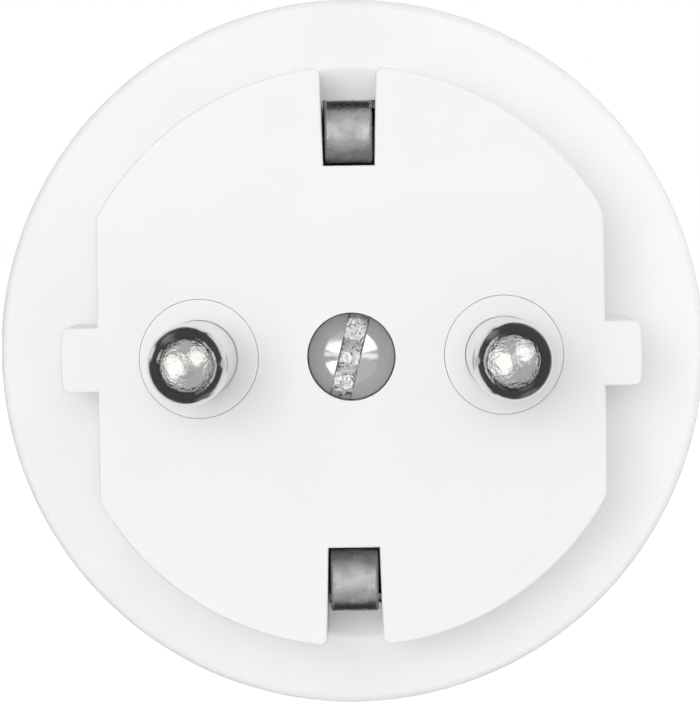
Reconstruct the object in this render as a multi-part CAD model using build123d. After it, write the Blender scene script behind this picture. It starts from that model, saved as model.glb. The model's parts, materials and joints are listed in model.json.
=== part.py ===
from build123d import *
import os
from math import cos, hypot, pi, radians, sin

# Plug-through energy meter, type F (CEE 7/4) plug behind and CEE 7/3 socket in front.
# Millimetres. The plug axis is Y: pins point to -Y, the socket faces +Y, +Z is up.
# The origin is the centre of the plug's engagement face.

os.makedirs("parts", exist_ok=True)

# ---- Driving dimensions ------------------------------------------------------------
# Plug and socket system
PIN_PITCH_X = 9.5          # half of the 19 mm between the two pins
PIN_R = 2.4
PIN_LENGTH = 19.0
PIN_NOSE = 2.75            # length of the pin's rounded end
PLUG_DEPTH = 16.0          # engagement face to the flange
RECESS_DEPTH = 17.5

# Whole body
BODY_R = 23.2
FRONT_Y = 53.0
SHELL_WALL = 1.5
EDGE_ROUND = 0.5
SEAM_Y = 19.5              # rear cover to sleeve
SEAM_BEVEL = 0.2
RING_Y = 49.3              # sleeve to light ring

# Plug block
BLOCK_FACE_R = 18.1
BLOCK_FLAT_X = 15.8
BLOCK_DRAFT = 0.56         # growth from the face to the flange
BLOCK_WALL = 2.0
FACE_PLATE = 2.6
RIB_HALF_Z = 2.02
FACE_ROUND = 0.15
CORNER_ROUND = 1.0
RIB_ROUND = 0.45
BOARD_POST_X = 12.2
BOARD_POST_Z = 6.5
BOARD_POST_R = 1.3

# Earth notches and the strip that lies in them
NOTCH_INNER_Z = 11.9
NOTCH_INNER_HALF_X = 1.6
NOTCH_OUTER_HALF_X = 1.81
NOTCH_FLOOR_Y = 14.6
NOTCH_WALL = 1.25
NOTCH_LEDGE_Z = 16.5       # where the notch's floor begins, outwards of the strip
STRIP_HALF_X = 1.49
STRIP_T = 0.7
STRIP_EDGE_ROUND = 0.2
STRIP_INNER_Z = 12.5       # centre line of the leg next to the notch's inner wall
STRIP_OUTER_Z = 15.72      # centre line of the leg that the wall socket's clip touches
STRIP_TOP_Y = 1.25         # centre line of the arch under the engagement face
STRIP_END_Y = 20.5         # end of the legs, under the socket's earth springs
YOKE_Y = 10.45             # centre plane of the yoke that joins both arches
YOKE_BEND = 0.8
YOKE_PAD_R = 3.6
BEND_ROOM = 0.6            # room for the inside of the yoke's bends

# Pins and their collars
COLLAR_R = 3.7
COLLAR_GAP = 0.03
COLLAR_SHOULDER_R = 4.3
COLLAR_END_Y = 4.5
PIN_GAP = 0.03
COLLAR_MOUTH_Y = 0.3       # depth of the collar's wider mouth, under the end of the full pin
PIN_NECK_R = 2.2
PIN_NECK_END_Y = 1.65
PIN_SHOULDER_R = 3.2
PIN_SHOULDER_END_Y = 3.6
PIN_TAIL_R = 2.0
PIN_SPIGOT_R = 1.2
PIN_SOLDER_STUB = 0.7

# Centre screw
SCREW_HEAD_R = 2.68
SCREW_SHANK_R = 1.45
SCREW_SLOT_HALF = 0.68
SCREW_TILT = 14.2
SCREW_SLOT_X = -0.1        # the slot sits slightly off the head's centre
SCREW_CROWN_Y = 0.3
SCREW_RIM_Y = 1.5
SCREW_END_Y = 21.0
SHANK_ROOM = 0.2
# The slot's side view, (y, z): a deep middle, steep steps, shallow ramps to the rim.
SLOT_OUTLINE = ((-0.2, -3.2), (1.42, -3.2), (0.90, -1.13), (1.60, -0.42),
                (1.60, 0.20), (0.90, 1.09), (1.42, 3.2), (-0.2, 3.2))
HEAD_POCKET_R = 2.76
HEAD_SEAT_Y = 3.2
BOSS_R = 4.2

# Boards and the parts on them
BOARD_Y = 12.4
BOARD_T = 1.6
BOARD_R = 15.9
BOARD_FLAT_X = 13.9
SIDE_BOARD_X = 13.3
SIDE_BOARD_T = 0.6
SIDE_BOARD_HALF_Z = 5.0
SIDE_BOARD_END_Y = 30.2
LED_BOARD_Y = 31.2
LED_BOARD_T = 0.8
LED_BOARD_OUTER_R = 21.3
LED_BOARD_INNER_R = 14.4
LED_SPOT_R = 20.85
LED_ANGLES = (165, 180, 195)
SOLDER_GAP = 0.02          # air between a lead's end and the board it is soldered to
LEAD_R = 0.3
CHIP_PITCH = 1.27

# Socket insert, carrier and shutter
RECESS_R = 19.5
RECESS_FLAT_X = 16.8
GROOVE_HALF_Z = 2.75
CUP_R = 20.6
FLOOR_T = 2.5
HOLE_R = 2.75
HOLE_CHAMFER = 0.4
PLATE_Y = 28.4
PLATE_T = 1.6
PLATE_R = 18.4
PIVOT_R = 2.0
PIVOT_END_Y = 27.0
SHUTTER_Y = 30.4
SHUTTER_T = 2.2
SHUTTER_R = 13.0
SHUTTER_HUB_R = 4.0
SHUTTER_HALF_ANGLE = 20.0
CARRIER_SCREW_Z = 14.2
CARRIER_SCREW_R = 0.95
CHAMBER_HALF = 3.75
CHAMBER_WALL = 0.6
CHAMBER_Y = 16.2
CONTACT_T = 0.45
CONTACT_BASE_Y = 15.6
CONTACT_GRIP_Y = 24.6
CONTACT_END_Y = 28.1
CONTACT_FOOT_Z = 2.85
SHUTTER_STOP_R = 11.5
SHUTTER_STOP_ANGLES = (-24.6, 64.6)

# Earth springs in the socket
SPRING_HALF_X = 2.0
SPRING_T = 0.5
SPRING_FOOT_Y = 17.0
SPRING_WALL_Z = 20.25
SPRING_TOUCH_Z = 15.6
SPRING_END_Y = 49.6

# Button and light ring
BUTTON_Y = 27.0
BUTTON_R = 3.9
BUTTON_GAP = 0.15
BUTTON_SINK = 0.1
BUTTON_FLANGE_R = 4.7
BUTTON_FLANGE_X = 19.9
BUTTON_STEM_R = 1.5
DISH_R = 18.2
DISH_DEPTH = 0.45
PLUNGER_R = 1.5
PLUNGER_LENGTH = 1.6
RING_INNER_R = 20.75
RIM_R = 21.5
RIM_Y = 51.8
GUIDE_Y = 32.85            # back end of the light guides
FIT = 0.05                 # clearance between moulded pieces that locate each other
EPS = 0.1                  # how far a cutting tool runs past the face it cuts

# ---- Derived positions ---------------------------------------------------------------
RECESS_Y = FRONT_Y - RECESS_DEPTH
FLOOR_Y = RECESS_Y - FLOOR_T
BOARD_TOP_Y = BOARD_Y + BOARD_T
SLEEVE_R = BODY_R - SHELL_WALL
PLUNGER_END_X = SIDE_BOARD_X + SIDE_BOARD_T + 3.5
BIG = 60.0


# ---- Basic shapes, all lying in the object's own axes ----------------------------------
def rod(radius, y0, y1, x=0.0, z=0.0):
    """Round bar along Y."""
    bar = Cylinder(radius, y1 - y0, rotation=(-90, 0, 0))
    return Pos(x, (y0 + y1) / 2, z) * bar


def cone(r0, r1, y0, y1, x=0.0, z=0.0):
    """Cone frustum along Y, of radius r0 at y0 and r1 at y1."""
    bar = Cone(r0, r1, y1 - y0, rotation=(-90, 0, 0))
    return Pos(x, (y0 + y1) / 2, z) * bar


def tube(outer, inner, y0, y1, x=0.0, z=0.0):
    """Round tube along Y."""
    return rod(outer, y0, y1, x, z) - rod(inner, y0 - EPS, y1 + EPS, x, z)


def rod_x(radius, x0, x1, y=0.0, z=0.0):
    """Round bar along X."""
    bar = Cylinder(radius, x1 - x0, rotation=(0, 90, 0))
    return Pos((x0 + x1) / 2, y, z) * bar


def slab(x0, x1, y0, y1, z0, z1):
    """Box between two corners."""
    box = Box(x1 - x0, y1 - y0, z1 - z0)
    return Pos((x0 + x1) / 2, (y0 + y1) / 2, (z0 + z1) / 2) * box


def prism_y(points, y0, y1):
    """Polygon given in X and Z, extruded along Y."""
    face = Plane.XZ.offset(-y1) * make_face(Polyline(*points, close=True))
    return extrude(face, amount=y1 - y0)


def strip(points, radii, thickness, half_width, x=0.0):
    """Bent flat strip: its centre line is given in Y and Z, its width lies along X."""
    line = FilletPolyline(*points, radius=radii)
    face = Plane.YZ * trace(line, thickness)
    return Pos(x, 0, 0) * extrude(face, amount=half_width, both=True)


def turned(points, x=0.0, z=0.0):
    """Solid of revolution about Y; points are (radius, y)."""
    face = make_face(Polyline(*points, close=True))
    return Pos(x, 0, z) * revolve(face, Axis.Y)


def polar(radius, angle):
    """X and Z of a point on a circle about the plug axis."""
    return radius * cos(radians(angle)), radius * sin(radians(angle))


def sector(radius, middle, half_angle, y0, y1):
    """Wedge of a disc between two angles about Y."""
    reach = radius / cos(radians(half_angle))
    points = [(0, 0), polar(reach, middle - half_angle), polar(reach, middle + half_angle)]
    return prism_y(points, y0, y1) & rod(radius, y0, y1)


def both_ends(shape):
    """The shape and its copy turned half a turn about the plug axis."""
    return shape + Rot(0, 180, 0) * shape


def long_edges(solid, length, slack=0.8):
    """Edges whose length is close to the one given and that run along Y."""
    found = []
    for edge in solid.edges():
        run = abs((edge @ 1).Y - (edge @ 0).Y)
        if abs(edge.length - length) < slack and run > 0.9 * edge.length:
            found.append(edge)
    return found


# ---- Plug side -------------------------------------------------------------------------
def block_body(inset, y0, y1):
    """The plug block without ribs: a drafted round with two drafted flats."""
    grow = BLOCK_DRAFT / PLUG_DEPTH
    r0 = BLOCK_FACE_R - inset + grow * y0
    r1 = BLOCK_FACE_R - inset + grow * y1
    x0 = BLOCK_FLAT_X - inset + grow * y0
    x1 = BLOCK_FLAT_X - inset + grow * y1
    flats = make_face(Polyline((-x0, y0), (x0, y0), (x1, y1), (-x1, y1), close=True))
    return cone(r0, r1, y0, y1) & extrude(flats, amount=BIG, both=True)


def plug_block():
    """Block with rounded corners, its two guide ribs and a rounded engagement face."""
    block = block_body(0, 0, PLUG_DEPTH)
    block = fillet(long_edges(block, PLUG_DEPTH), CORNER_ROUND)
    rib = cone(BLOCK_FACE_R, BLOCK_FACE_R + BLOCK_DRAFT, 0, PLUG_DEPTH)
    rib = rib & slab(-BIG, BIG, 0, PLUG_DEPTH, -RIB_HALF_Z, RIB_HALF_Z)
    rib = fillet(long_edges(rib, PLUG_DEPTH), RIB_ROUND)
    block = block + rib
    for side in (-1, 1):
        block = block - notch(side)
    mouth = []
    for edge in long_edges(block, NOTCH_FLOOR_Y, 1.0):
        x, z = (edge @ 0.5).X, (edge @ 0.5).Z
        if abs(x) < NOTCH_OUTER_HALF_X + 1 and abs(z) > BLOCK_FACE_R - 1:
            mouth.append(edge)
    block = fillet(mouth, RIB_ROUND)
    rim = [e for e in block.edges() if abs((e @ 0).Y) < 1e-4 and abs((e @ 1).Y) < 1e-4]
    return fillet(rim, FACE_ROUND)


def notch(side):
    """Earth notch, open at the engagement face and at the block's round side."""
    outer_z = BLOCK_FACE_R + 2
    points = [
        (-NOTCH_INNER_HALF_X, side * NOTCH_INNER_Z),
        (NOTCH_INNER_HALF_X, side * NOTCH_INNER_Z),
        (NOTCH_OUTER_HALF_X, side * outer_z),
        (-NOTCH_OUTER_HALF_X, side * outer_z),
    ]
    return prism_y(points, -1, NOTCH_FLOOR_Y)


def mirrored_slab(half_x, y0, y1, z0, z1):
    """Two boxes centred on X = 0, one above and one below the plug axis."""
    return slab(-half_x, half_x, y0, y1, z0, z1) + slab(-half_x, half_x, y0, y1, -z1, -z0)


def block_cavity():
    """Hollow of the plug block, leaving the walls and the floors of both notches."""
    cavity = block_body(BLOCK_WALL, FACE_PLATE, SEAM_Y - 0.5)
    wall_x = NOTCH_OUTER_HALF_X + NOTCH_WALL
    floor_back = PLUG_DEPTH + 0.4
    cavity = cavity - mirrored_slab(wall_x, 0, NOTCH_FLOOR_Y - 0.2,
                                    NOTCH_INNER_Z - NOTCH_WALL, BIG)
    return cavity - mirrored_slab(wall_x, 0, floor_back, NOTCH_LEDGE_Z, BIG)


def strip_passages():
    """Room for the earth strip: past each notch's floor, and through its inner wall."""
    half_x = NOTCH_INNER_HALF_X
    down = mirrored_slab(half_x, NOTCH_FLOOR_Y - 1, PLUG_DEPTH + 1,
                         NOTCH_INNER_Z - EPS, NOTCH_LEDGE_Z)
    foot = mirrored_slab(SPRING_HALF_X + 0.1, PLUG_DEPTH + 0.6, SEAM_Y,
                         STRIP_OUTER_Z - 1, NOTCH_LEDGE_Z + 0.05)
    yoke_back = YOKE_Y - STRIP_T / 2 - BEND_ROOM
    across = mirrored_slab(half_x, yoke_back, PLUG_DEPTH,
                           NOTCH_INNER_Z - NOTCH_WALL - EPS, NOTCH_INNER_Z + EPS)
    return down + foot + across


def rear_cover():
    """Plug block and round flange in one moulding, open towards the front."""
    spigot_length, spigot_wall = 2.5, 1.2
    flange = rod(BODY_R, PLUG_DEPTH, SEAM_Y)
    rear_edge = [e for e in flange.edges() if abs((e @ 0).Y - PLUG_DEPTH) < 1e-4]
    flange = fillet(rear_edge, EDGE_ROUND)
    flange = flange + rod(SLEEVE_R - FIT, SEAM_Y, SEAM_Y + spigot_length)
    flange = flange - rod(SLEEVE_R - spigot_wall, PLUG_DEPTH + 2, SEAM_Y + spigot_length + 1)
    cover = plug_block() + flange - block_cavity() - strip_passages()

    cover = cover + rod(BOSS_R, FACE_PLATE - EPS, YOKE_Y - STRIP_T / 2 - FIT)
    cover = cover - rod(HEAD_POCKET_R, -1, HEAD_SEAT_Y)
    cover = cover - rod(SCREW_SHANK_R + SHANK_ROOM, 0, YOKE_Y)
    for x in (-PIN_PITCH_X, PIN_PITCH_X):
        cover = cover - rod(COLLAR_R + COLLAR_GAP, -1, FACE_PLATE + 1, x)
    for x in (-BOARD_POST_X, BOARD_POST_X):
        for z in (-BOARD_POST_Z, BOARD_POST_Z):
            cover = cover + rod(BOARD_POST_R, FACE_PLATE - EPS, BOARD_Y - FIT, x, z)
    return cover


def pin_collar(x):
    """Insulating bush around a pin: flush with the face, with a shoulder behind it."""
    bush = rod(COLLAR_R, 0, FACE_PLATE + FIT, x)
    bush = bush + rod(COLLAR_SHOULDER_R, FACE_PLATE + FIT, COLLAR_END_Y, x)
    bush = bush - rod(PIN_R + PIN_GAP, -1, COLLAR_MOUTH_Y, x)
    bush = bush - rod(PIN_NECK_R + PIN_GAP, 0, COLLAR_END_Y, x)
    return bush - rod(PIN_SHOULDER_R + FIT, PIN_NECK_END_Y, COLLAR_END_Y + 1, x)


def pin_nose(x):
    """Rounded end of a pin: half of an egg shape that is longer than a half ball."""
    base_y = PIN_NOSE - PIN_LENGTH
    oval = Pos(0, base_y) * Ellipse(PIN_R, PIN_NOSE)
    quarter = oval & Pos(PIN_R / 2, base_y - PIN_NOSE / 2) * Rectangle(PIN_R, PIN_NOSE)
    return Pos(x, 0, 0) * revolve(quarter, Axis.Y)


def contact_pin(x):
    """Solid pin with a round nose, a captive shoulder and a tail for the board."""
    pin = rod(PIN_R, PIN_NOSE - PIN_LENGTH, 0, x) + pin_nose(x)
    pin = pin + rod(PIN_NECK_R, 0, PIN_NECK_END_Y, x)
    pin = pin + rod(PIN_SHOULDER_R, PIN_NECK_END_Y, PIN_SHOULDER_END_Y, x)
    pin = pin + rod(PIN_TAIL_R, PIN_SHOULDER_END_Y, BOARD_Y - FIT, x)
    return pin + rod(PIN_SPIGOT_R, BOARD_Y - FIT, BOARD_TOP_Y + PIN_SOLDER_STUB, x)


def centre_screw():
    """One-way security screw: domed head with a stepped slot, plain shank."""
    rise = SCREW_RIM_Y - SCREW_CROWN_Y
    ball_r = (SCREW_HEAD_R ** 2 + rise ** 2) / (2 * rise)
    dome = Pos(0, SCREW_CROWN_Y + ball_r, 0) * Sphere(ball_r)
    dome = dome & rod(SCREW_HEAD_R, SCREW_CROWN_Y - EPS, SCREW_RIM_Y)
    head = dome + rod(SCREW_HEAD_R, SCREW_RIM_Y, HEAD_SEAT_Y - SOLDER_GAP)
    slot = Plane.YZ * make_face(Polyline(*SLOT_OUTLINE, close=True))
    slot = extrude(slot, amount=SCREW_SLOT_HALF, both=True)
    head = head - Pos(SCREW_SLOT_X, 0, 0) * Rot(0, SCREW_TILT, 0) * slot
    return head + rod(SCREW_SHANK_R, HEAD_SEAT_Y - SOLDER_GAP, SCREW_END_Y)


def in_arch_top(edge):
    """True for the outer side edges of the bent top of an arch."""
    middle = edge @ 0.5
    beside = abs(abs(middle.X) - STRIP_HALF_X) < 1e-4 and abs((edge @ 0).X - middle.X) < 1e-4
    return beside and middle.Y < STRIP_TOP_Y + STRIP_T / 2 - EPS / 2


def earth_bridge():
    """One stamped strip: a yoke across the inside with an arch in each earth notch."""
    half = [(STRIP_END_Y, STRIP_OUTER_Z), (STRIP_TOP_Y, STRIP_OUTER_Z),
            (STRIP_TOP_Y, STRIP_INNER_Z), (YOKE_Y, STRIP_INNER_Z)]
    mirrored = [(y, -z) for y, z in reversed(half)]
    arch = (STRIP_OUTER_Z - STRIP_INNER_Z) / 2 - 0.01
    bends = [arch, arch, YOKE_BEND, YOKE_BEND, arch, arch]
    bridge = strip(half + mirrored, bends, STRIP_T, STRIP_HALF_X)
    outside = [e for e in bridge.edges() if in_arch_top(e)]
    bridge = fillet(outside, STRIP_EDGE_ROUND)
    pad = rod(YOKE_PAD_R, YOKE_Y - STRIP_T / 2, YOKE_Y + STRIP_T / 2)
    return bridge + pad - rod(SCREW_SHANK_R + SHANK_ROOM, 0, BIG)


def earth_spring(side):
    """Socket earth contact: from the bridge's leg, along the cup, hooked inwards."""
    foot_z = STRIP_OUTER_Z + (STRIP_T + SPRING_T) / 2 + 0.01
    foot_end_y, rise_end_y = 20.8, 23.8
    bow_y, touch_y0, touch_y1 = 38.0, 43.4, 46.2
    tip_z = 19.4
    points = [(SPRING_FOOT_Y, foot_z), (foot_end_y, foot_z), (rise_end_y, SPRING_WALL_Z),
              (bow_y, SPRING_WALL_Z), (touch_y0, SPRING_TOUCH_Z),
              (touch_y1, SPRING_TOUCH_Z), (SPRING_END_Y, tip_z)]
    points = [(y, side * z) for y, z in points]
    return strip(points, [0.8, 1.0, 2.0, 1.4, 1.4], SPRING_T, SPRING_HALF_X)


# ---- Inside ---------------------------------------------------------------------------
def contact_carrier():
    """Inner moulding: centre post, contact chambers and the plate under the shutter."""
    plate_end = PLATE_Y + PLATE_T
    flat_x = SIDE_BOARD_X - 0.2
    web_x0, web_x1, web_half_z = 3.6, 6.0, 0.6
    plate = rod(PLATE_R, PLATE_Y, plate_end) & slab(-flat_x, flat_x, 0, BIG, -BIG, BIG)
    carrier = plate + rod(BOSS_R, YOKE_Y + STRIP_T / 2 + FIT, PLATE_Y + EPS)
    inner = CHAMBER_HALF - CHAMBER_WALL
    for x in (-PIN_PITCH_X, PIN_PITCH_X):
        carrier = carrier + slab(x - CHAMBER_HALF, x + CHAMBER_HALF, CHAMBER_Y,
                                 PLATE_Y + EPS, -CHAMBER_HALF, CHAMBER_HALF)
        carrier = carrier - slab(x - inner, x + inner, CHAMBER_Y - 1,
                                 PLATE_Y, -inner, inner)
        carrier = carrier - rod(HOLE_R + 0.2, PLATE_Y - 1, plate_end + 1, x)
    for x0, x1 in ((web_x0, web_x1), (-web_x1, -web_x0)):
        carrier = carrier + slab(x0, x1, CHAMBER_Y, PLATE_Y + EPS, -web_half_z, web_half_z)
    for z in (-CARRIER_SCREW_Z, CARRIER_SCREW_Z):
        carrier = carrier - rod(CARRIER_SCREW_R + 0.25, PLATE_Y - 1, plate_end + 1, 0, z)
    carrier = carrier - rod(SCREW_SHANK_R + 0.03, 0, SCREW_END_Y + 1)
    return carrier - rod(SHUTTER_HUB_R - 0.1, PIVOT_END_Y - 0.2, plate_end + 1)


def receptacle(x):
    """Socket contact: a folded strip whose two leaves grip a 4.8 mm pin."""
    knee_y = CONTACT_BASE_Y + 3
    half_width, leg_half_x = 2.5, 0.7
    grip = PIN_R + CONTACT_T / 2 - 0.06
    wide = CONTACT_FOOT_Z
    points = [(CONTACT_END_Y, wide), (CONTACT_GRIP_Y, grip), (knee_y, wide),
              (CONTACT_BASE_Y, wide), (CONTACT_BASE_Y, -wide), (knee_y, -wide),
              (CONTACT_GRIP_Y, -grip), (CONTACT_END_Y, -wide)]
    contact = strip(points, [3.0, 2.0, 0.6, 0.6, 2.0, 3.0], CONTACT_T, half_width, x)
    for z in (-wide, wide):
        contact = contact + slab(x - leg_half_x, x + leg_half_x, BOARD_Y - 0.8,
                                 CONTACT_BASE_Y + 1, z - CONTACT_T / 2, z + CONTACT_T / 2)
    return contact


def carrier_screws():
    """The two small screws that close the carrier against the socket insert."""
    head_r, head_t, shank_end = 1.9, 1.2, FLOOR_Y + 0.9
    cross_reach, cross_half, cross_depth = 1.2, 0.2, 0.5
    head_y = PLATE_Y - head_t
    screws = []
    for z in (-CARRIER_SCREW_Z, CARRIER_SCREW_Z):
        head = rod(head_r, head_y, PLATE_Y - 0.01, 0, z)
        cross = slab(-cross_reach, cross_reach, head_y - EPS, head_y + cross_depth,
                     z - cross_half, z + cross_half)
        cross = cross + slab(-cross_half, cross_half, head_y - EPS, head_y + cross_depth,
                             z - cross_reach, z + cross_reach)
        shank = rod(CARRIER_SCREW_R, PLATE_Y - 0.02, shank_end, 0, z)
        screws.append(head - cross + shank)
    return Compound(children=screws)


def main_board():
    """Main circuit board, shaped to the block's cavity."""
    notch_half_x, foot_half_x, foot_half_z = 3.4, 0.9, 0.4
    board = rod(BOARD_R, BOARD_Y, BOARD_TOP_Y)
    board = board & slab(-BOARD_FLAT_X, BOARD_FLAT_X, 0, BIG, -BIG, BIG)
    board = board - mirrored_slab(notch_half_x, 0, BIG, NOTCH_INNER_Z - NOTCH_WALL - 0.25, BIG)
    board = board - rod(BOSS_R + 0.3, 0, BIG)
    for x in (-PIN_PITCH_X, PIN_PITCH_X):
        board = board - rod(PIN_SPIGOT_R + 0.1, 0, BIG, x)
        for z in (-CONTACT_FOOT_Z, CONTACT_FOOT_Z):
            board = board - slab(x - foot_half_x, x + foot_half_x, 0, BIG,
                                 z - foot_half_z, z + foot_half_z)
    return board


def with_leads(body, spots, radius, y0, y1):
    """Adds straight round leads at the given X, Z spots to a component's body."""
    for x, z in spots:
        body = body + rod(radius, y0, y1, x, z)
    return body


def boxed_part(half_x, y0, y1, z0, z1, edge_round):
    """Moulded case of a part that stands on the main board, its upright edges rounded."""
    case = slab(-half_x, half_x, y0, y1, z0, z1)
    return fillet(case.edges().filter_by(Axis.Y), edge_round)


def relay():
    """Slim mains relay in its sealed case, standing on the main board."""
    foot_y = BOARD_TOP_Y + 0.5
    case = boxed_part(10, foot_y, 28.0, 4.7, 11.8, 0.5)
    spots = [(-8.6, 6.0), (-8.6, 10.4), (-3.6, 10.0), (8.4, 8.2)]
    return with_leads(case, spots, 0.4, BOARD_TOP_Y + SOLDER_GAP, foot_y + EPS)


def film_capacitor():
    """Box film capacitor across the mains."""
    foot_y = BOARD_TOP_Y + 0.3
    case = boxed_part(6.5, foot_y, 26.3, -9.8, -4.8, 0.4)
    spots = [(-5, -7.3), (5, -7.3)]
    return with_leads(case, spots, 0.35, BOARD_TOP_Y + SOLDER_GAP, foot_y + EPS)


def can_capacitor(x, z, height):
    """Electrolytic capacitor with the rolled groove near its seal."""
    y0 = BOARD_TOP_Y + 0.3
    y1 = y0 + height
    r, groove, bevel, lead_x = 3.1, 0.25, 0.3, 1.25
    points = [(0, y0), (r, y0), (r, y0 + 1.0), (r - groove, y0 + 1.3), (r, y0 + 1.6),
              (r, y1 - bevel), (r - bevel, y1), (0, y1)]
    spots = [(x - lead_x, z), (x + lead_x, z)]
    return with_leads(turned(points, x, z), spots, LEAD_R, BOARD_TOP_Y + SOLDER_GAP, y0 + EPS)


def varistor():
    """Disc varistor standing behind the board, its rim rounded by the dipped coat."""
    x, y, z = 7.0, 7.9, 6.8
    disc_r, disc_t, lead_x = 3.4, 3.0, 2.0
    disc = Cylinder(disc_r, disc_t)
    disc = Pos(x, y, z) * fillet(disc.edges(), 0.9)
    spots = [(x - lead_x, z), (x + lead_x, z)]
    return with_leads(disc, spots, LEAD_R, y + 1, BOARD_Y - SOLDER_GAP)


def fuse_resistor():
    """Fusible resistor lying behind the board, waisted between its end caps."""
    x0, x1, y, z = 3.4, 9.8, 9.4, -6.2
    cap_length, cap_r, waist_r, lead_reach = 1.4, 1.55, 1.35, 0.7
    body = rod_x(waist_r, x0, x1, y, z)
    body = body + rod_x(cap_r, x0, x0 + cap_length, y, z)
    body = body + rod_x(cap_r, x1 - cap_length, x1, y, z)
    body = body + rod_x(LEAD_R, x0 - lead_reach, x1 + lead_reach, y, z)
    spots = [(x0 - lead_reach + 0.1, z), (x1 + lead_reach - 0.1, z)]
    return with_leads(body, spots, LEAD_R, y - 0.25, BOARD_Y - SOLDER_GAP)


def choke():
    """Drum-core choke behind the board."""
    end_r, waist_r, end_t, back_y = 3.0, 2.5, 0.9, 5.0
    front_y = BOARD_Y - SOLDER_GAP
    points = [(0, back_y), (end_r, back_y), (end_r, back_y + end_t),
              (waist_r, back_y + end_t), (waist_r, front_y - end_t - 0.3),
              (end_r, front_y - end_t - 0.3), (end_r, front_y), (0, front_y)]
    return turned(points, -6.9, 7.6)


def shunt():
    """Current-sensing shunt: a wide alloy strap bent down to the board at both ends."""
    x0, x1, arch_y, z = -10.2, -4.0, 9.6, -4.6
    thickness, half_width = 0.6, 1.2
    foot_y = BOARD_Y - SOLDER_GAP
    span = [(x0, foot_y), (x0, arch_y), (x1, arch_y), (x1, foot_y)]
    face = trace(FilletPolyline(*span, radius=0.9), thickness)
    return Pos(0, 0, z) * extrude(face, amount=half_width, both=True)


def chip(x, z, length, width, height):
    """Small-outline chip on the back of the main board, with its rows of legs."""
    stand_off, leg_half, leg_reach = 0.15, 0.2, 0.5
    y1 = BOARD_Y - stand_off
    leg_y = y1 - height / 2 - 0.1
    body = slab(x - length / 2, x + length / 2, y1 - height, y1,
                z - width / 2, z + width / 2)
    count = int(length / CHIP_PITCH)
    for i in range(count):
        leg_x = x + (i - (count - 1) / 2) * CHIP_PITCH
        x0, x1 = leg_x - leg_half, leg_x + leg_half
        reach = width / 2 + leg_reach
        body = body + slab(x0, x1, leg_y, leg_y + 0.2, z - reach, z + reach)
        for foot_z in (z - reach - 0.1, z + reach + 0.1):
            body = body + slab(x0, x1, leg_y, BOARD_Y - SOLDER_GAP, foot_z - 0.1, foot_z + 0.1)
    return body


def side_board(side):
    """Small upright board beside the contact chambers."""
    x0, x1 = sorted((side * SIDE_BOARD_X, side * (SIDE_BOARD_X + SIDE_BOARD_T)))
    half = SIDE_BOARD_HALF_Z
    board = slab(x0, x1, BOARD_TOP_Y + SOLDER_GAP, SIDE_BOARD_END_Y, -half, half)
    return chamfer(board.edges().filter_by(Axis.X).group_by(Axis.Y)[-1], 0.8)


def tact_switch():
    """Push switch on the right-hand side board, bored for its plunger."""
    x0 = SIDE_BOARD_X + SIDE_BOARD_T
    half, depth, stud_at, stud_r = 3.0, 2.5, 2.3, 0.35
    body = slab(x0, x0 + depth, BUTTON_Y - half, BUTTON_Y + half, -half, half)
    body = chamfer(body.edges().filter_by(Axis.X), 0.4)
    for y in (BUTTON_Y - stud_at, BUTTON_Y + stud_at):
        for z in (-stud_at, stud_at):
            body = body + rod_x(stud_r, x0 + depth - 0.1, x0 + depth + 0.2, y, z)
    return body - rod_x(PLUNGER_R + 0.1, x0 + depth - 1.3, x0 + depth + 0.5, BUTTON_Y)


def tact_plunger():
    """The switch's plunger, which the button's stem pushes in."""
    return rod_x(PLUNGER_R, PLUNGER_END_X - PLUNGER_LENGTH, PLUNGER_END_X, BUTTON_Y)


def power_button():
    """Round button whose face follows the barrel, with a captive flange and a stem."""
    flange_x = BUTTON_FLANGE_X
    cap = rod_x(BUTTON_R, flange_x, BIG, BUTTON_Y) & rod(BODY_R - BUTTON_SINK, 0, BIG)
    cap = cap + rod_x(BUTTON_FLANGE_R, flange_x, flange_x + 0.9, BUTTON_Y)
    cap = cap - Pos(BODY_R - DISH_DEPTH + DISH_R, BUTTON_Y, 0) * Sphere(DISH_R)
    return cap + rod_x(BUTTON_STEM_R, PLUNGER_END_X + 0.02, flange_x + EPS, BUTTON_Y)


def radio_shield():
    """Screening can of the radio module, open towards its board."""
    x1 = -(SIDE_BOARD_X + SIDE_BOARD_T)
    height, wall = 2.2, 0.2
    y0, y1, half_z = 19.5, 28.0, 4.4
    can = slab(x1 - height, x1 - 0.01, y0, y1, -half_z, half_z)
    can = fillet(can.edges().group_by(Axis.X)[0], 0.4)
    return can - slab(x1 - height + wall, x1 + 1, y0 + wall, y1 - wall,
                      -half_z + wall, half_z - wall)


def led_board():
    """Curved board under the light ring, with a tongue that carries its inner end."""
    y0, y1 = LED_BOARD_Y, LED_BOARD_Y + LED_BOARD_T
    board = sector(LED_BOARD_OUTER_R, 180, 32, y0, y1) - rod(LED_BOARD_INNER_R, 0, BIG)
    board = board - slab(-BIG, BIG, 0, BIG, -1.0, 1.0)
    tongue = slab(-LED_BOARD_OUTER_R + 0.1, -LED_BOARD_INNER_R - 0.2, y0, y1, -1.1, 1.1)
    return board + tongue


def status_leds():
    """Three small surface-mounted lights."""
    foot_y = LED_BOARD_Y + LED_BOARD_T + SOLDER_GAP
    lights = []
    for angle in LED_ANGLES:
        led = Pos(0, 0.3, 0) * Box(0.8, 0.6, 1.4) + Pos(0, 0.4, 0) * Box(0.6, 0.6, 0.7)
        lights.append(Rot(0, -angle, 0) * Pos(LED_SPOT_R, foot_y, 0) * led)
    return Compound(children=lights)


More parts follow.
